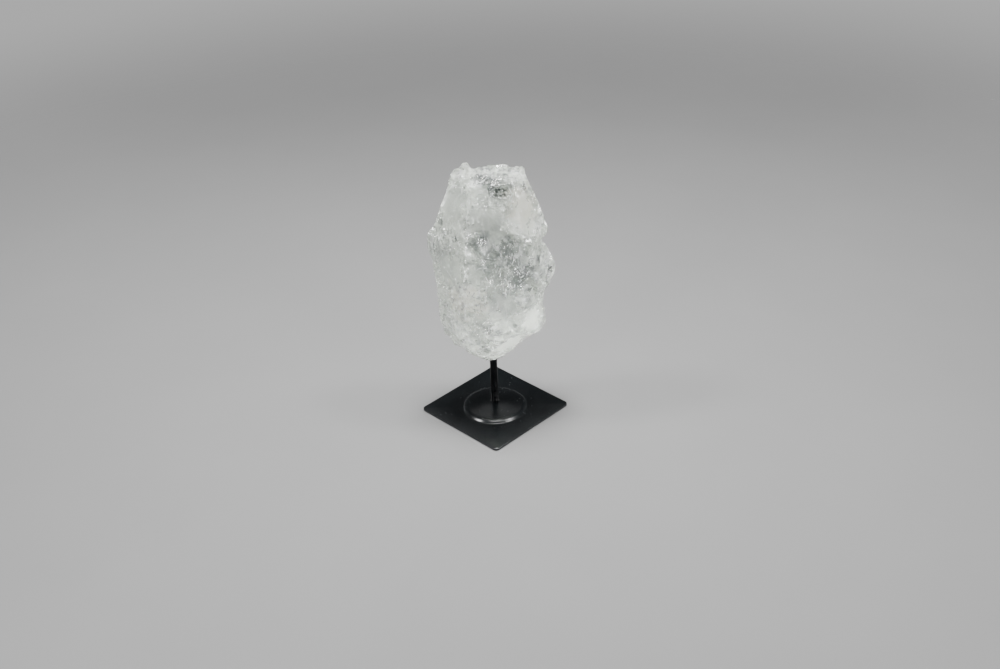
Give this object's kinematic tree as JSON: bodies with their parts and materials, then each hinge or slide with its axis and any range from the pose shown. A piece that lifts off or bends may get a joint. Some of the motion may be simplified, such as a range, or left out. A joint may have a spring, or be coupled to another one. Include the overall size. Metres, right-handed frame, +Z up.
{
  "type": "clear quartz on stand",
  "caption": "Rough chunk of clear quartz held upright on a short black rod over a square pressed-steel base with a raised round boss.",
  "frame": {"origin": "centre of the base's underside, on the surface that the stand rests on", "axes": "+Z up along the rod; -Y towards the front, where one corner of the base points; +X to the right seen from the front"},
  "size_m": [0.097, 0.097, 0.1765],
  "materials": {
    "quartz": "clear, veined with white fractures, broken faces from glossy to sugary",
    "rod": "gloss black enamel",
    "base": "satin black enamel"
  },
  "bodies": {
    "root": {"quartz": "quartz", "rod": "rod", "base": "base"}
  },
  "joints": []
}
